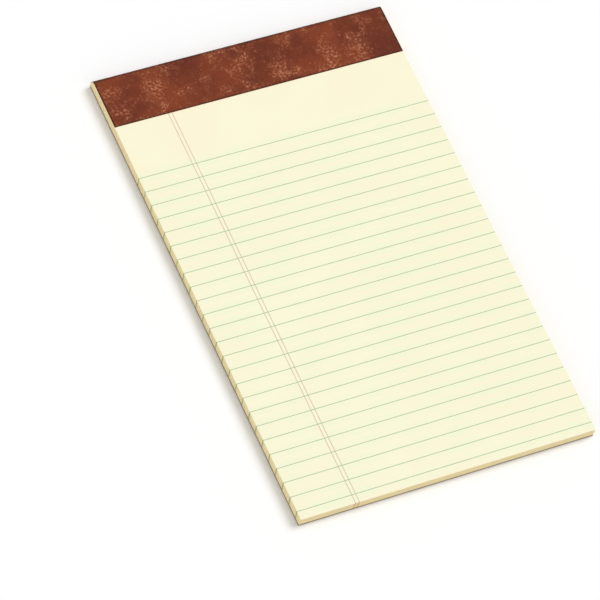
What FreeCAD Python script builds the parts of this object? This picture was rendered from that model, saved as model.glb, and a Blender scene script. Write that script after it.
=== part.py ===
import FreeCAD, Part
import os
import Sketcher

os.makedirs("parts", exist_ok=True)
doc = FreeCAD.newDocument("legal_pad")

# The pad lies on its back: X across the page, Y up the page to the head, Z out of the page.
# The origin is at the middle of the footprint, on the plane that the pad rests on.

sizes = doc.addObject("Spreadsheet::Sheet", "sizes")
sizes.Label = "sizes"

# The sizes that can be set, in millimetres.
NAMED = [
    ("sheet_width", "127.0"),
    ("sheet_length", "203.2"),
    ("sheet_count", "50"),
    ("sheet_thickness", "0.078"),
    ("board_thickness", "0.75"),
    ("strip_thickness", "0.15"),
    ("strip_face_cover", "22.8"),
    ("strip_back_cover", "20.0"),
    ("fold_radius_face", "1.8"),
    ("fold_radius_back", "0.6"),
    ("wire_radius", "0.2"),
    ("wire_bend", "0.25"),
    ("wire_clearance", "0.02"),
    ("crown_length", "12.0"),
    ("clinch_length", "4.0"),
    ("staple_from_side", "29.5"),
    ("staple_from_head", "7.0"),
]

# Heights and places that follow from them, worked out once here.
FOLLOWING = [
    ("board_low", "=strip_thickness"),
    ("block_thickness", "=sheet_count * sheet_thickness"),
    ("block_low", "=board_low + board_thickness"),
    ("block_top", "=block_low + block_thickness"),
    ("pad_top", "=block_top + strip_thickness"),
    ("foot_y", "=-(sheet_length + strip_thickness) / 2"),
    ("head_y", "=foot_y + sheet_length"),
    ("staple_x", "=sheet_width / 2 - staple_from_side"),
    ("staple_y", "=head_y - staple_from_head"),
    ("leg_near", "=staple_x - crown_length / 2"),
    ("leg_far", "=staple_x + crown_length / 2"),
    ("crown_z", "=block_top - wire_clearance - wire_radius"),
    ("clinch_z", "=board_low + wire_clearance + wire_radius"),
    ("hole_radius", "=wire_radius + wire_clearance"),
    ("seat_depth", "=wire_clearance + wire_radius + wire_bend"),
]

NAMES = [name for name, _ in NAMED + FOLLOWING]

for row, (name, content) in enumerate(NAMED + FOLLOWING, start=1):
    sizes.set(f"A{row}", name)
    sizes.set(f"B{row}", content)
    sizes.setAlias(f"B{row}", name)
doc.recompute()


def bound(words):
    """Name the sheet's cells in a sum of sizes, as an expression to bind to."""
    return " ".join(f"sizes.{word}" if word in NAMES else word for word in words.split())


def value(words):
    """Work out a sum of sizes, such as "head_y - fold_radius_back", for a first drawing."""
    total = 0.0
    sign = 1
    for word in words.split():
        if word in "+-":
            sign = 1 if word == "+" else -1
        else:
            total += sign * float(sizes.get(word) if word in NAMES else word)
    return total


def point(across, along):
    return FreeCAD.Vector(value(across), value(along), 0)


def new_body(name):
    body = doc.addObject("PartDesign::Body", name)
    body.Label = name
    return body


def new_sketch(body, name, role, height="0"):
    """A sketch parallel to one of the body's own origin planes, at a height above it."""
    sketch = body.newObject("Sketcher::SketchObject", name)
    plane = next(item for item in body.Origin.OriginFeatures if item.Role == role)
    sketch.AttachmentSupport = [(plane, "")]
    sketch.MapMode = "FlatFace"
    sketch.setExpression("AttachmentOffset.Base.z", bound(height))
    return sketch


def hold(sketch, kind, geometry, place, words):
    """Bind one distance of a sketch's point from the origin to a sum of sizes."""
    index = sketch.addConstraint(
        Sketcher.Constraint(kind, -1, 1, geometry, place, value(words))
    )
    sketch.setExpression(f"Constraints[{index}]", bound(words))


def hold_radius(sketch, geometry, words):
    index = sketch.addConstraint(Sketcher.Constraint("Radius", geometry, value(words)))
    sketch.setExpression(f"Constraints[{index}]", bound(words))


def trace(sketch, corners, closed=True):
    """Draw a line of straight and quarter-round stretches through the corners.

    Each corner is (across, along, bend). A bend of None leads straight to the next
    corner. Any other bend is (centre across, centre along, turn) of the arc that
    leads there, and its turn is 1 anticlockwise and -1 clockwise.
    """
    first = sketch.GeometryCount
    count = len(corners) if closed else len(corners) - 1
    ends = []
    for index in range(count):
        across, along, bend = corners[index]
        after = corners[(index + 1) % len(corners)]
        start = point(across, along)
        finish = point(after[0], after[1])
        if bend is None:
            sketch.addGeometry(Part.LineSegment(start, finish), False)
            ends.append((1, 2))
            continue
        centre = point(bend[0], bend[1])
        outwards = (start - centre).normalize() + (finish - centre).normalize()
        middle = centre + outwards.normalize() * (start - centre).Length
        sketch.addGeometry(Part.Arc(start, middle, finish), False)
        ends.append((1, 2) if bend[2] > 0 else (2, 1))
    for index in range(count):
        across, along, bend = corners[index]
        if closed or index:
            before = (index - 1) % count
            sketch.addConstraint(
                Sketcher.Constraint(
                    "Coincident", first + before, ends[before][1], first + index, ends[index][0]
                )
            )
        hold(sketch, "DistanceX", first + index, ends[index][0], across)
        hold(sketch, "DistanceY", first + index, ends[index][0], along)
        if bend is not None:
            hold(sketch, "DistanceX", first + index, 3, bend[0])
    if not closed:
        hold(sketch, "DistanceX", first + count - 1, ends[-1][1], corners[-1][0])
        hold(sketch, "DistanceY", first + count - 1, ends[-1][1], corners[-1][1])


def circle(sketch, across, along, radius):
    centre = point(across, along)
    index = sketch.addGeometry(
        Part.Circle(centre, FreeCAD.Vector(0, 0, 1), value(radius)), False
    )
    hold(sketch, "DistanceX", index, 3, across)
    hold(sketch, "DistanceY", index, 3, along)
    hold_radius(sketch, index, radius)


def full_width(body, sketch, name):
    """Give a side outline the page's width, half to each side."""
    pad = body.newObject("PartDesign::Pad", name)
    pad.Profile = sketch
    pad.Midplane = True
    pad.setExpression("Length", bound("sheet_width"))
    sketch.Visibility = False


def sink(body, sketch, name, depth, upward):
    """Cut a plan's shapes into a body, down from the face or up from the back."""
    pocket = body.newObject("PartDesign::Pocket", name)
    pocket.Profile = sketch
    pocket.Reversed = upward
    pocket.setExpression("Length", bound(depth))
    sketch.Visibility = False


def staple_cuts(body, name, height, seat_name, through, upward):
    """Cut the seats that the wire lies in and the holes that its legs go through."""
    seats = new_sketch(body, f"{name}_{seat_name}_plan", "XY_Plane", height)
    holes = new_sketch(body, f"{name}_holes_plan", "XY_Plane", height)
    for out, back in (("+", "-"), ("-", "+")):
        near = f"0 {out} leg_near {back} hole_radius"
        far = f"0 {out} leg_far {out} hole_radius"
        low = "staple_y - hole_radius"
        high = "staple_y + hole_radius"
        trace(seats, [(near, low, None), (far, low, None), (far, high, None), (near, high, None)])
        circle(holes, f"0 {out} leg_near", "staple_y", "hole_radius")
        circle(holes, f"0 {out} leg_far", "staple_y", "hole_radius")
    sink(body, seats, f"{name}_{seat_name}", "seat_depth", upward)
    sink(body, holes, f"{name}_holes", through, upward)


# Centres of the folds at the head, and the side outlines that share them.
FACE_FOLD = ("head_y - fold_radius_face", "block_top - fold_radius_face")
BACK_FOLD = ("head_y - fold_radius_back", "board_low + fold_radius_back")


def writing_sheets():
    """The block of sheets, rounded at the head where the strip folds over its face."""
    body = new_body("writing_sheets")
    side = new_sketch(body, "sheets_side", "YZ_Plane")
    trace(side, [
        ("foot_y", "block_low", None),
        ("head_y", "block_low", None),
        ("head_y", FACE_FOLD[1], FACE_FOLD + (1,)),
        (FACE_FOLD[0], "block_top", None),
        ("foot_y", "block_top", None),
    ])
    full_width(body, side, "sheets_block")
    staple_cuts(body, "sheets", "block_top", "crown_seats", "block_thickness", False)
    return body


def backing_board():
    """The board behind the sheets, rounded at the head where the strip folds under it."""
    body = new_body("backing_board")
    side = new_sketch(body, "board_side", "YZ_Plane")
    trace(side, [
        ("foot_y", "board_low", None),
        (BACK_FOLD[0], "board_low", BACK_FOLD + (1,)),
        ("head_y", BACK_FOLD[1], None),
        ("head_y", "block_low", None),
        ("foot_y", "block_low", None),
    ])
    full_width(body, side, "board_sheet")
    staple_cuts(body, "board", "board_low", "clinch_seats", "board_thickness", True)
    return body


def binding_strip():
    """The strip, one thin band from the face, round the head and under the board."""
    body = new_body("binding_strip")
    side = new_sketch(body, "strip_side", "YZ_Plane")
    trace(side, [
        ("head_y - strip_back_cover", "0", None),
        (BACK_FOLD[0], "0", BACK_FOLD + (1,)),
        ("head_y + strip_thickness", BACK_FOLD[1], None),
        ("head_y + strip_thickness", FACE_FOLD[1], FACE_FOLD + (1,)),
        (FACE_FOLD[0], "pad_top", None),
        ("head_y - strip_face_cover", "pad_top", None),
        ("head_y - strip_face_cover", "block_top", None),
        (FACE_FOLD[0], "block_top", FACE_FOLD + (-1,)),
        ("head_y", FACE_FOLD[1], None),
        ("head_y", BACK_FOLD[1], BACK_FOLD + (-1,)),
        (BACK_FOLD[0], "board_low", None),
        ("head_y - strip_back_cover", "board_low", None),
    ])
    full_width(body, side, "strip_band")
    return body


def staples():
    """Two staples of bent wire: crown on the sheets, legs through, ends folded inwards."""
    body = new_body("staple")
    path = new_sketch(body, "wire_path", "XZ_Plane", "0 - staple_y")
    near = "leg_near + wire_bend"
    far = "leg_far - wire_bend"
    low = "clinch_z + wire_bend"
    high = "crown_z - wire_bend"
    trace(path, [
        ("leg_near + clinch_length", "clinch_z", None),
        (near, "clinch_z", (near, low, -1)),
        ("leg_near", low, None),
        ("leg_near", high, (near, high, -1)),
        (near, "crown_z", None),
        (far, "crown_z", (far, high, -1)),
        ("leg_far", high, None),
        ("leg_far", low, (far, low, -1)),
        (far, "clinch_z", None),
        ("leg_far - clinch_length", "clinch_z", None),
    ], closed=False)
    section = new_sketch(body, "wire_section", "YZ_Plane", "leg_near + clinch_length")
    circle(section, "staple_y", "clinch_z", "wire_radius")
    wire = body.newObject("PartDesign::AdditivePipe", "bent_wire")
    wire.Profile = section
    wire.Spine = path
    path.Visibility = False
    section.Visibility = False
    other = doc.addObject("Part::Mirroring", "other_staple")
    other.Label = "other_staple"
    other.Source = body
    other.Normal = FreeCAD.Vector(1, 0, 0)
    pair = doc.addObject("Part::Compound", "staples")
    pair.Label = "staples"
    pair.Links = [body, other]
    return pair


# Each sub-part, and how many separate solids it holds.
SUBPARTS = [
    (writing_sheets(), 1),
    (backing_board(), 1),
    (binding_strip(), 1),
    (staples(), 2),
]

doc.recompute()

for item in doc.Objects:
    if "Invalid" in item.State or "Error" in item.State:
        raise RuntimeError(f"{item.Name} did not build: {item.State}")

for item, solids in SUBPARTS:
    shape = item.Shape
    if shape.isNull() or not shape.isValid() or len(shape.Solids) != solids:
        raise RuntimeError(f"{item.Label} is not {solids} valid solids")

for item, solids in SUBPARTS:
    item.Shape.exportStep(f"parts/{item.Label}.step")
    print(item.Label, "solids", solids, "volume", round(item.Shape.Volume, 2))
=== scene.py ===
import math

import bpy
import numpy as np
from mathutils import Matrix, Vector


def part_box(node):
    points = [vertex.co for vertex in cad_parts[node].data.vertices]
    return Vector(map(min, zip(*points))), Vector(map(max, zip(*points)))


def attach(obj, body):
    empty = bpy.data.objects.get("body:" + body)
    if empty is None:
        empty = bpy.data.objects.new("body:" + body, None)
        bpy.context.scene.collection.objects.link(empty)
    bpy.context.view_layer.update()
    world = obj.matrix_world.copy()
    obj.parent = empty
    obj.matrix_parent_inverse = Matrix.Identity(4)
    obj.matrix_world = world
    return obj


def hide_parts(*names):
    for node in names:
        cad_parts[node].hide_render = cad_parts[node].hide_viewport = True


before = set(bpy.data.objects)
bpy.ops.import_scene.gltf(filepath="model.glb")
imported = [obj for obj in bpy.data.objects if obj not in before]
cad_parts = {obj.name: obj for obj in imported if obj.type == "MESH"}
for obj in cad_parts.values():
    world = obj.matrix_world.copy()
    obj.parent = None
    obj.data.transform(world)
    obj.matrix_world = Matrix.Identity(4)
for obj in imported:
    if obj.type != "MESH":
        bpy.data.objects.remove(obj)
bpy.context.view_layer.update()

MM = 0.001

# Places read from the frame, in metres: X across the page, Y up to the head, Z out of the page.
SHEETS_LOW, SHEETS_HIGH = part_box("writing_sheets")
STRIP_LOW, STRIP_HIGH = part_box("binding_strip")
BOARD_BACK_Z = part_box("backing_board")[0][2]
SIDE_X = SHEETS_HIGH[0]
FOOT_Y = SHEETS_LOW[1]
HEAD_Y = SHEETS_HIGH[1]
FACE_Z = SHEETS_HIGH[2]
STRIP_THICK = STRIP_HIGH[2] - FACE_Z
STRIP_EDGE_Y = STRIP_LOW[1]

# Sizes of the real pad that the frame's boxes don't give.
SHEET_COUNT = 50
STRIP_BACK_COVER = 20.0 * MM
FOLD_RADIUS_FACE = 1.8 * MM
FOLD_RADIUS_BACK = 0.6 * MM

# The print on each page, measured from its head and from its left edge.
FIRST_RULE = 47.1 * MM
RULE_PITCH = 6.35 * MM
RULE_COUNT = 25
RULE_WIDTH = 0.3 * MM
SHOW_THROUGH_WIDTH = 5.0 * MM
MARGIN_FROM_LEFT = 23.1 * MM
MARGIN_GAP = 1.6 * MM
MARGIN_WIDTH = 0.4 * MM


def shade(red, green, blue):
    """A screen colour, 0 to 255 a channel, as the linear colour that a material takes."""
    def linear(channel):
        part = channel / 255
        return part / 12.92 if part <= 0.04045 else ((part + 0.055) / 1.055) ** 2.4
    return (linear(red), linear(green), linear(blue), 1.0)


# Colours.
PAGE_CREAM = shade(251, 248, 218)
PAGE_WARM = shade(252, 244, 213)
PAGE_GREEN = shade(243, 247, 214)
RULE_GREEN = shade(162, 189, 152)
MARGIN_ROSE = shade(219, 199, 174)
EDGE_CREAM = shade(252, 238, 192)
EDGE_OCHRE = shade(240, 216, 156)
EDGE_GREEN = shade(150, 164, 98)
EDGE_ROSE = shade(232, 178, 142)
STRIP_DARK = shade(100, 42, 24)
STRIP_BROWN = shade(128, 58, 31)
STRIP_ORANGE = shade(146, 78, 44)
STRIP_TAN = shade(200, 130, 98)
# The strip's rim colour below is painted shade, laid along its border and the middle of its fold.
STRIP_RIM_SHADE = shade(52, 26, 14)
STRIP_CORE = shade(214, 166, 134)
BOARD_GREY = shade(170, 150, 120)
BOARD_DARK = shade(124, 104, 78)
BOARD_PALE = shade(206, 190, 162)
WIRE_GREY = shade(176, 178, 180)
WIRE_DARK = shade(120, 122, 126)


class Graph:
    """One node tree, with a short call for each kind of step."""

    def __init__(self, tree):
        self.tree = tree

    def add(self, kind, inputs=(), **settings):
        """Place a node, set its settings, and link or set its inputs by name or number."""
        node = self.tree.nodes.new(kind)
        for name, value in settings.items():
            setattr(node, name, value)
        for key, value in dict(inputs).items():
            if isinstance(value, bpy.types.NodeSocket):
                self.tree.links.new(value, node.inputs[key])
            else:
                node.inputs[key].default_value = value
        return node

    def math(self, operation, first, second=0.0, third=0.0):
        node = self.add("ShaderNodeMath", {0: first, 1: second, 2: third}, operation=operation)
        return node.outputs[0]

    def blend(self, factor, first, second):
        """Mix two colours."""
        node = self.add("ShaderNodeMix", {0: factor, 6: first, 7: second},
                        data_type="RGBA")
        return node.outputs[2]

    def between(self, value, low, high, start=0.0, end=1.0):
        """Carry a value smoothly from one range to another, held at both ends."""
        node = self.add("ShaderNodeMapRange",
                        {"Value": value, "From Min": low, "From Max": high,
                         "To Min": start, "To Max": end},
                        interpolation_type="SMOOTHSTEP", clamp=True)
        return node.outputs[0]

    def noise(self, place, size, detail=2.0, roughness=0.5, distortion=0.0):
        """Cloudy noise whose lumps are about as large as the size given."""
        node = self.add("ShaderNodeTexNoise",
                        {"Vector": place, "Scale": 1.0 / size, "Detail": detail,
                         "Roughness": roughness, "Distortion": distortion})
        return node.outputs["Fac"]

    def group(self, tree, inputs):
        node = self.add("ShaderNodeGroup")
        node.node_tree = tree
        for key, value in inputs.items():
            if isinstance(value, bpy.types.NodeSocket):
                self.tree.links.new(value, node.inputs[key])
            else:
                node.inputs[key].default_value = value
        return node.outputs


def new_group(name, inputs, outputs):
    """An empty node group with named inputs and outputs."""
    tree = bpy.data.node_groups.new(name, "ShaderNodeTree")
    for label, default in inputs.items():
        kind = "NodeSocketFloat" if isinstance(default, float) else "NodeSocketVector"
        socket = tree.interface.new_socket(label, in_out="INPUT", socket_type=kind)
        if kind == "NodeSocketFloat":
            socket.default_value = default
    for label in outputs:
        tree.interface.new_socket(label, in_out="OUTPUT", socket_type="NodeSocketFloat")
    graph = Graph(tree)
    return graph, graph.add("NodeGroupInput").outputs, graph.add("NodeGroupOutput").inputs


def printed_lines():
    """A mask of evenly spaced lines: 1 within half a width of the nearest line, else 0."""
    graph, given, result = new_group(
        "printed lines",
        {"Distance": 0.0, "First": 0.0, "Pitch": 1.0, "Last": 1.0, "Width": 0.1},
        ["Mask"],
    )
    along = graph.math("DIVIDE", graph.math("SUBTRACT", given["Distance"], given["First"]),
                       given["Pitch"])
    nearest = graph.math("MAXIMUM", graph.math("ROUND", along), 0.0)
    nearest = graph.math("MINIMUM", nearest, given["Last"])
    away = graph.math("ABSOLUTE", graph.math("SUBTRACT", along, nearest))
    away = graph.math("MULTIPLY", away, given["Pitch"])
    outer = graph.math("MULTIPLY", given["Width"], 0.62)
    inner = graph.math("MULTIPLY", given["Width"], 0.38)
    graph.tree.links.new(graph.between(away, outer, inner), result["Mask"])
    return graph.tree


def paper_fibre():
    """Paper's cloudy tone and its felted height, from two sizes of noise."""
    graph, given, result = new_group(
        "paper fibre", {"Place": None, "Fibre Size": 0.0005, "Cloud Size": 0.01},
        ["Tone", "Height"],
    )
    fine = graph.add("ShaderNodeVectorMath",
                     {0: given["Place"], "Scale": graph.math("DIVIDE", 1.0, given["Fibre Size"])},
                     operation="SCALE").outputs[0]
    broad = graph.add("ShaderNodeVectorMath",
                      {0: given["Place"], "Scale": graph.math("DIVIDE", 1.0, given["Cloud Size"])},
                      operation="SCALE").outputs[0]
    felt = graph.noise(fine, 1.0, 3.0, 0.6, 0.8)
    cloud = graph.noise(broad, 1.0, 2.0, 0.5)
    tone = graph.math("MULTIPLY_ADD", felt, 0.4, graph.math("MULTIPLY", cloud, 0.6))
    graph.tree.links.new(tone, result["Tone"])
    graph.tree.links.new(felt, result["Height"])
    return graph.tree


def new_material(name, roughness, specular=0.3):
    """A material with its shader in place, and a graph to build its pattern with."""
    material = bpy.data.materials.new(name)
    material.use_nodes = True
    graph = Graph(material.node_tree)
    shader = material.node_tree.nodes["Principled BSDF"]
    shader.inputs["Roughness"].default_value = roughness
    shader.inputs["Specular IOR Level"].default_value = specular
    place = graph.add("ShaderNodeTexCoord").outputs["Object"]
    return material, graph, shader, place


def set_bump(graph, shader, height, depth, strength=1.0):
    bump = graph.add("ShaderNodeBump",
                     {"Height": height, "Distance": depth, "Strength": strength})
    graph.tree.links.new(bump.outputs["Normal"], shader.inputs["Normal"])


def page_face(lines, fibre):
    """Cream paper with fine grey-green rules and a double rose margin line.

    A faint green cast lies round each rule, where the next leaf's print shows through.
    """
    material, graph, shader, place = new_material("page face", 0.85, 0.2)
    axes = graph.add("ShaderNodeSeparateXYZ", {0: place}).outputs
    paper = graph.group(fibre, {"Place": place, "Fibre Size": 0.35 * MM, "Cloud Size": 30 * MM})
    from_head = graph.math("SUBTRACT", HEAD_Y, axes["Y"])
    from_left = graph.math("ADD", axes["X"], SIDE_X)
    rules = graph.group(lines, {"Distance": from_head, "First": FIRST_RULE, "Pitch": RULE_PITCH,
                                "Last": RULE_COUNT - 1.0, "Width": RULE_WIDTH})["Mask"]
    margin = graph.group(lines, {"Distance": from_left, "First": MARGIN_FROM_LEFT,
                                 "Pitch": MARGIN_GAP, "Last": 1.0,
                                 "Width": MARGIN_WIDTH})["Mask"]
    ink = graph.between(graph.noise(place, 0.6 * MM, 2.0), 0.25, 0.6, 0.72, 1.0)
    through = graph.group(lines, {"Distance": from_head, "First": FIRST_RULE, "Pitch": RULE_PITCH,
                                  "Last": RULE_COUNT - 1.0, "Width": SHOW_THROUGH_WIDTH})["Mask"]
    cast = graph.between(graph.noise(place, 12 * MM, 2.0), 0.3, 0.7, 0.25, 0.75)
    colour = graph.blend(graph.between(paper["Tone"], 0.35, 0.65), PAGE_CREAM, PAGE_WARM)
    colour = graph.blend(graph.math("MULTIPLY", through, cast), colour, PAGE_GREEN)
    colour = graph.blend(graph.math("MULTIPLY", margin, ink), colour, MARGIN_ROSE)
    colour = graph.blend(graph.math("MULTIPLY", rules, ink), colour, RULE_GREEN)
    graph.tree.links.new(colour, shader.inputs["Base Color"])
    set_bump(graph, shader, paper["Height"], 0.008 * MM)
    return material


def page_edges(lines, fibre):
    """The cut edges of the leaves: ochre, finely streaked, with the rules' ends as marks.

    The marks lean towards the foot with depth, as the leaves of a gathered block do.
    """
    lean = -0.2
    print_scatter = 0.25 * MM
    material, graph, shader, place = new_material("page edges", 0.9, 0.15)
    axes = graph.add("ShaderNodeSeparateXYZ", {0: place}).outputs
    depth = graph.math("SUBTRACT", FACE_Z, axes["Z"])
    leaf = graph.math("FLOOR", graph.math("DIVIDE", depth, (FACE_Z - SHEETS_LOW[2]) / SHEET_COUNT))
    chance = graph.add("ShaderNodeTexWhiteNoise", {"W": leaf}, noise_dimensions="1D").outputs[0]
    streak = graph.add("ShaderNodeMapping", {"Vector": place, "Scale": (1.0, 1.0, 60.0)})
    tone = graph.noise(streak.outputs[0], 4.0 * MM, 3.0, 0.6)
    from_head = graph.math("SUBTRACT", HEAD_Y, axes["Y"])
    shifted = graph.math("MULTIPLY_ADD", depth, lean, from_head)
    shifted = graph.math("MULTIPLY_ADD", chance, print_scatter, shifted)
    marks = graph.group(lines, {"Distance": shifted, "First": FIRST_RULE, "Pitch": RULE_PITCH,
                                "Last": RULE_COUNT - 1.0, "Width": 2.4 * RULE_WIDTH})["Mask"]
    from_left = graph.math("ADD", axes["X"], SIDE_X)
    sideways = graph.math("MULTIPLY_ADD", chance, print_scatter, from_left)
    foot_marks = graph.group(lines, {"Distance": sideways, "First": MARGIN_FROM_LEFT,
                                     "Pitch": MARGIN_GAP, "Last": 1.0,
                                     "Width": 2.0 * MARGIN_WIDTH})["Mask"]
    colour = graph.blend(graph.between(tone, 0.3, 0.7), EDGE_CREAM, EDGE_OCHRE)
    fade = graph.between(graph.noise(streak.outputs[0], 1.2 * MM, 1.0), 0.3, 0.6, 0.5, 1.0)
    colour = graph.blend(graph.math("MULTIPLY", marks, fade), colour, EDGE_GREEN)
    colour = graph.blend(graph.math("MULTIPLY", foot_marks, fade), colour, EDGE_ROSE)
    graph.tree.links.new(colour, shader.inputs["Base Color"])
    paper = graph.group(fibre, {"Place": place, "Fibre Size": 0.2 * MM, "Cloud Size": 10 * MM})
    set_bump(graph, shader, paper["Height"], 0.02 * MM)
    return material


def leather_look():
    """Brown strip: ragged clouds of fine tan speckle over red-brown, with a pebble grain."""
    material, graph, shader, place = new_material("leather look strip", 0.6, 0.12)
    broad = graph.noise(place, 24 * MM, 3.0, 0.55, 0.3)
    cloud = graph.noise(place, 8 * MM, 4.0, 0.62, 0.5)
    speckle = graph.noise(place, 0.95 * MM, 1.0, 0.6, 0.3)
    stray = graph.noise(place, 1.1 * MM, 1.0, 0.5)
    thread = graph.noise(place, 4 * MM, 3.0, 0.6, 0.8)
    grain = graph.add("ShaderNodeTexVoronoi", {"Vector": place, "Scale": 1.0 / (0.7 * MM),
                                               "Randomness": 1.0},
                      feature="DISTANCE_TO_EDGE").outputs["Distance"]
    pebble = graph.between(grain, 0.0, 0.28)
    patches = graph.between(graph.math("MULTIPLY_ADD", broad, 0.5, cloud), 0.7, 0.98)
    dots = graph.between(speckle, 0.5, 0.62)
    pits = graph.between(speckle, 0.48, 0.38)
    strays = graph.between(stray, 0.66, 0.76)
    threads = graph.between(graph.math("ABSOLUTE", graph.math("SUBTRACT", thread, 0.5)), 0.02, 0.0)
    colour = graph.blend(graph.between(broad, 0.35, 0.65), STRIP_DARK, STRIP_BROWN)
    colour = graph.blend(graph.math("MULTIPLY", patches, 0.5), colour, STRIP_ORANGE)
    colour = graph.blend(graph.math("MULTIPLY", threads, 0.25), colour, STRIP_ORANGE)
    colour = graph.blend(graph.math("MULTIPLY", strays, 0.25), colour, STRIP_TAN)
    colour = graph.blend(graph.math("MULTIPLY", graph.math("MULTIPLY", patches, pits), 0.5),
                         colour, STRIP_DARK)
    colour = graph.blend(graph.math("MULTIPLY", graph.math("MULTIPLY", patches, dots), 0.7),
                         colour, STRIP_TAN)
    # Painted shade: the rim attribute darkens the strip's border and the middle of its face fold.
    rim = graph.add("ShaderNodeAttribute", attribute_name="rim").outputs["Fac"]
    colour = graph.blend(graph.math("MULTIPLY", rim, 0.95), colour, STRIP_RIM_SHADE)
    graph.tree.links.new(colour, shader.inputs["Base Color"])
    graph.tree.links.new(graph.between(pebble, 0.0, 1.0, 0.68, 0.54), shader.inputs["Roughness"])
    set_bump(graph, shader, graph.math("MULTIPLY_ADD", speckle, 0.4, pebble), 0.03 * MM)
    return material


def strip_core():
    """The strip's cut edge: its paper core, a little uneven."""
    material, graph, shader, place = new_material("strip core", 0.85, 0.2)
    tone = graph.noise(place, 0.4 * MM, 2.0)
    colour = graph.blend(graph.between(tone, 0.3, 0.7), STRIP_CORE, STRIP_BROWN)
    graph.tree.links.new(colour, shader.inputs["Base Color"])
    return material


def chipboard(fibre):
    """Grey-brown board of pressed fibres, flecked dark and pale."""
    material, graph, shader, place = new_material("grey board", 0.92, 0.15)
    paper = graph.group(fibre, {"Place": place, "Fibre Size": 0.8 * MM, "Cloud Size": 12 * MM})
    stretch = graph.add("ShaderNodeMapping", {"Vector": place, "Scale": (1.0, 0.25, 1.0)})
    flecks = graph.noise(stretch.outputs[0], 0.45 * MM, 1.0, 0.5)
    colour = graph.blend(graph.between(paper["Tone"], 0.3, 0.7, 0.1, 0.55), BOARD_GREY, BOARD_DARK)
    colour = graph.blend(graph.between(flecks, 0.66, 0.74, 0.0, 0.7), colour, BOARD_PALE)
    colour = graph.blend(graph.between(flecks, 0.34, 0.27, 0.0, 0.7), colour, BOARD_DARK)
    graph.tree.links.new(colour, shader.inputs["Base Color"])
    set_bump(graph, shader, paper["Height"], 0.03 * MM)
    return material


def drawn_wire():
    """Bright wire with faint lengthwise drawing marks."""
    material, graph, shader, place = new_material("staple wire", 0.35, 0.5)
    shader.inputs["Metallic"].default_value = 1.0
    stretch = graph.add("ShaderNodeMapping", {"Vector": place, "Scale": (0.1, 1.0, 1.0)})
    marks = graph.noise(stretch.outputs[0], 0.05 * MM, 2.0)
    colour = graph.blend(graph.between(marks, 0.35, 0.65), WIRE_GREY, WIRE_DARK)
    graph.tree.links.new(colour, shader.inputs["Base Color"])
    return material


def new_piece(name, points, faces, materials, face_materials):
    """A finished piece at the origin, riding with the pad."""
    mesh = bpy.data.meshes.new(name)
    mesh.from_pydata(points.tolist(), [], faces.tolist())
    for material in materials:
        mesh.materials.append(material)
    mesh.polygons.foreach_set("material_index", face_materials)
    mesh.update()
    piece = bpy.data.objects.new(name, mesh)
    bpy.context.scene.collection.objects.link(piece)
    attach(piece, "root")
    return piece


def fold_inset(height, radius):
    """How far a quarter-round fold draws in from its flat side, at a height above its foot.

    It is the radius less the root of radius squared less height squared, and 0 below.
    """
    rise = np.clip(height, 0.0, radius)
    return radius - np.sqrt(np.maximum(radius ** 2 - rise ** 2, 0.0))


def make_leaves(face, edge):
    """The block as separate thin leaves.

    A leaf is a thin rectangle carried from foot to head. Its side edges and its foot
    stray a little from the block's, as trimmed sheets do, and its head stops at the
    fold. Between leaves is a hair of air that opens slightly towards the foot.
    """
    stations = 14
    air = 0.08
    stray = 0.03 * MM
    lift_at_foot = 0.1 * MM
    rng = np.random.default_rng(7)
    leaf = np.arange(SHEET_COUNT)
    pitch = (FACE_Z - SHEETS_LOW[2]) / SHEET_COUNT
    low = SHEETS_LOW[2] + leaf * pitch
    high = low + pitch * (1.0 - air)
    high[-1] = FACE_Z
    wander = np.cumsum(rng.normal(0.0, stray / 3, SHEET_COUNT))
    wander -= np.linspace(wander[0], wander[-1], SHEET_COUNT)
    left = -SIDE_X + np.abs(wander) + rng.uniform(0, stray, SHEET_COUNT)
    right = SIDE_X - np.abs(wander) - rng.uniform(0, stray, SHEET_COUNT)
    foot = FOOT_Y + rng.uniform(0, 2 * stray, SHEET_COUNT)
    head = HEAD_Y - fold_inset(high - (FACE_Z - FOLD_RADIUS_FACE), FOLD_RADIUS_FACE)
    along = np.linspace(0.0, 1.0, stations)
    y = foot[:, None] + (head - foot)[:, None] * along
    lift = lift_at_foot * (leaf / (SHEET_COUNT - 1))[:, None] * (1.0 - along) ** 2
    ring_x = np.stack([left, right, right, left], axis=1)[:, None, :]
    ring_z = np.stack([low, low, high, high], axis=1)[:, None, :] + lift[:, :, None]
    points = np.stack(np.broadcast_arrays(ring_x, y[:, :, None], ring_z), axis=-1)
    ring = np.arange(4)
    base = (leaf[:, None, None] * stations + np.arange(stations - 1)[None, :, None]) * 4
    quads = np.stack([base + ring, base + (ring + 1) % 4,
                      base + 4 + (ring + 1) % 4, base + 4 + ring], axis=-1).reshape(-1, 4)
    starts = leaf[:, None] * stations * 4
    foot_caps = starts + ring[::-1]
    head_caps = starts + (stations - 1) * 4 + ring
    faces = np.concatenate([quads, foot_caps, head_caps])[:, ::-1]
    on_edge = np.ones(len(faces), dtype=int)
    on_edge[:len(quads)] = np.tile(ring % 2, len(quads) // 4)
    piece = new_piece("leaves", points.reshape(-1, 3), faces, [face, edge], on_edge)
    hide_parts("writing_sheets")


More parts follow.
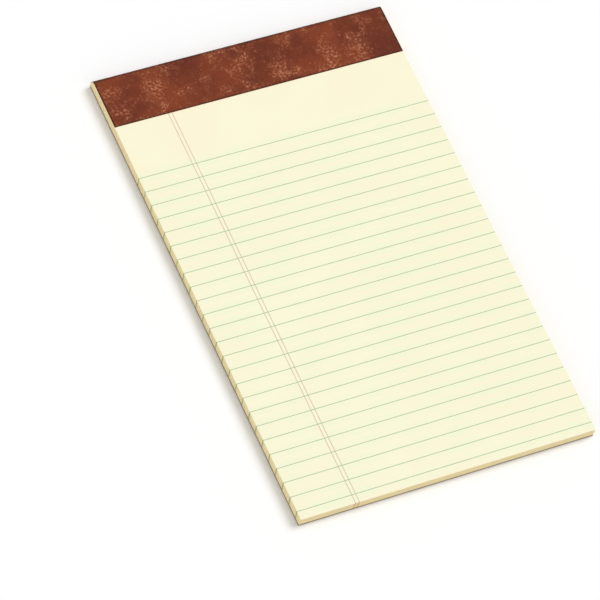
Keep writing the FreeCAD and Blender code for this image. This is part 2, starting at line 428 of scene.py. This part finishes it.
def strip_path(samples, rim_width):
    """The strip's inner line from its edge on the back, round the head, to its edge on the face.

    Two straight legs and a short head wall are joined by quarter-rounds. For each
    sample it gives the distance along the line, the place across Y and Z, and the
    direction that points outwards. There is a sample a rim's width from each end.
    """
    quarter_steps = 9
    back_z = BOARD_BACK_Z
    quarter = np.linspace(0.0, math.pi / 2, quarter_steps)
    back = np.column_stack([
        HEAD_Y - FOLD_RADIUS_BACK + FOLD_RADIUS_BACK * np.sin(quarter),
        back_z + FOLD_RADIUS_BACK - FOLD_RADIUS_BACK * np.cos(quarter),
    ])
    front = np.column_stack([
        HEAD_Y - FOLD_RADIUS_FACE + FOLD_RADIUS_FACE * np.cos(quarter),
        FACE_Z - FOLD_RADIUS_FACE + FOLD_RADIUS_FACE * np.sin(quarter),
    ])
    line = np.concatenate([
        [[HEAD_Y - STRIP_BACK_COVER, back_z]], back, front, [[STRIP_EDGE_Y, FACE_Z]],
    ])
    steps = np.linalg.norm(np.diff(line, axis=0), axis=1)
    reach = np.concatenate([[0.0], np.cumsum(steps)])
    legs = np.linspace(0.0, reach[-1], samples)
    stops = np.union1d(legs, np.concatenate([reach, [rim_width, reach[-1] - rim_width]]))
    place = np.column_stack([np.interp(stops, reach, line[:, axis]) for axis in (0, 1)])
    heading = np.gradient(place, stops, axis=0)
    heading /= np.linalg.norm(heading, axis=1)[:, None]
    outwards = np.column_stack([heading[:, 1], -heading[:, 0]])
    return stops, place, outwards


def make_strip(cover, core):
    """The binding strip: its path carried across the page, a thin shell closed at its rim.

    The outer skin swells by a sum of three crossed waves, a hundredth or two of a
    millimetre high, as pressed leather-look paper does. The rim attribute is painted
    shade: 1 at the strip's border, where its edge throws shadow, and in the middle of its
    face fold, which turns away from the light, and it falls to 0 a short way from them.
    """
    swell = 0.006 * MM
    rim_width = 1.0 * MM
    calm_width = 2.0 * MM
    fold_shade = 0.7
    samples_along = 90
    samples_across = 200
    stops, place, outwards = strip_path(samples_along, rim_width)
    x = np.union1d(np.linspace(-SIDE_X, SIDE_X, samples_across),
                   [rim_width - SIDE_X, SIDE_X - rim_width])
    rows = len(stops)
    across = len(x)
    s = stops[:, None]
    waves = (np.sin(2 * math.pi * (x / 4.1 / MM + s / 7.3 / MM))
             + np.sin(2 * math.pi * (x / 6.7 / MM - s / 3.9 / MM))
             + np.sin(2 * math.pi * (x / 2.9 / MM + s / 11.0 / MM)))
    inset = np.minimum(np.minimum(s, stops[-1] - s), np.minimum(x + SIDE_X, SIDE_X - x))
    calm = np.clip(inset / calm_width, 0.0, 1.0)
    shells = []
    for thick in (STRIP_THICK - swell * 3 + swell * waves * calm, np.zeros((rows, across))):
        y = place[:, 0, None] + outwards[:, 0, None] * thick
        z = place[:, 1, None] + outwards[:, 1, None] * thick
        shells.append(np.stack(np.broadcast_arrays(x[None, :], y, z), axis=-1).reshape(-1, 3))
    points = np.concatenate(shells)
    grid = np.arange(rows * across).reshape(rows, across)
    quads = np.stack([grid[:-1, :-1], grid[1:, :-1], grid[1:, 1:], grid[:-1, 1:]], axis=-1)
    outer = quads.reshape(-1, 4)
    inside = rows * across
    inner = outer[:, ::-1] + inside
    loop = np.concatenate([grid[0, :-1], grid[:-1, -1], grid[-1, :0:-1], grid[:0:-1, 0]])
    after = np.roll(loop, -1)
    rim_faces = np.stack([loop, after, after + inside, loop + inside], axis=-1)
    faces = np.concatenate([outer, inner, rim_faces])
    on_core = np.zeros(len(faces), dtype=int)
    on_core[len(outer):] = 1
    piece = new_piece("strip", points, faces, [cover, core], on_core)
    # Painted shade: the rim attribute darkens the strip's border, as its edge's shadow, and the
    # fold's turned-away middle.
    rim = piece.data.attributes.new("rim", "FLOAT", "POINT")
    near_rim = np.clip(1.0 - inset / rim_width, 0.0, 1.0)
    mid_fold = np.clip(outwards[:, 0], 0.0, 1.0) * np.clip(outwards[:, 1], 0.0, 1.0) * 2.0
    dark = np.maximum(near_rim, fold_shade * mid_fold[:, None]).reshape(-1)
    rim.data.foreach_set("value", np.concatenate([dark, dark]))
    piece.data.polygons.foreach_set("use_smooth", on_core == 0)
    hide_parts("binding_strip")


def dress_node(name, material):
    """Give a CAD piece that keeps its own shape its material."""
    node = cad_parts[name]
    node.data.materials.clear()
    node.data.materials.append(material)


def make_floor():
    """A plain white floor under the pad."""
    half = 4.0
    points = np.array([[-half, -half, 0], [half, -half, 0], [half, half, 0], [-half, half, 0]])
    mesh = bpy.data.meshes.new("floor")
    mesh.from_pydata(points.tolist(), [], [[0, 1, 2, 3]])
    floor = bpy.data.objects.new("floor", mesh)
    bpy.context.scene.collection.objects.link(floor)
    material, _, shader, _ = new_material("floor", 0.9, 0.0)
    shader.inputs["Base Color"].default_value = (1.0, 1.0, 1.0, 1.0)
    mesh.materials.append(material)


def make_lamp(name, level, height, heading, angle):
    """A soft lamp: its level on the floor, its height and heading in degrees, and its width."""
    lamp = bpy.data.lights.new(name, "SUN")
    lamp.angle = math.radians(angle)
    rise = math.radians(height)
    turn = math.radians(heading)
    lamp.energy = level * math.pi / math.sin(rise)
    holder = bpy.data.objects.new(name, lamp)
    bpy.context.scene.collection.objects.link(holder)
    towards = Vector((math.cos(rise) * math.cos(turn), math.cos(rise) * math.sin(turn),
                      math.sin(rise)))
    holder.rotation_euler = towards.to_track_quat("Z", "Y").to_euler()
    holder.location = towards


def make_light():
    """A soft lamp from the right, a weak fill from the left, and an even white sky.

    Their levels on the floor add up to 1, so colours render about as written.
    """
    sky_level = 0.52
    make_lamp("main lamp", 0.4, 54, 8, 36)
    make_lamp("fill lamp", 0.08, 26, 205, 70)
    world = bpy.data.worlds.new("sky")
    world.use_nodes = True
    bpy.context.scene.world = world
    graph = Graph(world.node_tree)
    path = graph.add("ShaderNodeLightPath").outputs
    seen = graph.math("MAXIMUM", path["Is Camera Ray"], path["Is Glossy Ray"])
    background = world.node_tree.nodes["Background"]
    background.inputs["Color"].default_value = (1.0, 1.0, 1.0, 1.0)
    graph.tree.links.new(graph.math("MULTIPLY_ADD", seen, 1.0 - sky_level, sky_level),
                         background.inputs["Strength"])


def make_camera():
    """The photograph's camera, placed from the left foot corner of the page's face."""
    corner = Vector((-SIDE_X, FOOT_Y, FACE_Z))
    offset = Vector((-634.1, -617.4, 1511.1)) * MM
    heading = math.radians(46.32)
    downwards = math.radians(57.18)
    roll = math.radians(22.78)
    camera = bpy.data.cameras.new("camera")
    camera.sensor_width = 36.0
    camera.lens = 280.7
    camera.clip_end = 20.0
    holder = bpy.data.objects.new("camera", camera)
    bpy.context.scene.collection.objects.link(holder)
    turn = (Matrix.Rotation(heading - math.pi / 2, 4, "Z")
            @ Matrix.Rotation(math.pi / 2 - downwards, 4, "X")
            @ Matrix.Rotation(roll, 4, "Z"))
    holder.matrix_world = Matrix.Translation(corner + offset) @ turn
    bpy.context.scene.camera = holder


def main():
    lines = printed_lines()
    fibre = paper_fibre()
    make_leaves(page_face(lines, fibre), page_edges(lines, fibre))
    make_strip(leather_look(), strip_core())
    dress_node("backing_board", chipboard(fibre))
    dress_node("staples", drawn_wire())
    make_floor()
    make_light()
    make_camera()
    bpy.context.scene.view_settings.view_transform = "Standard"


main()
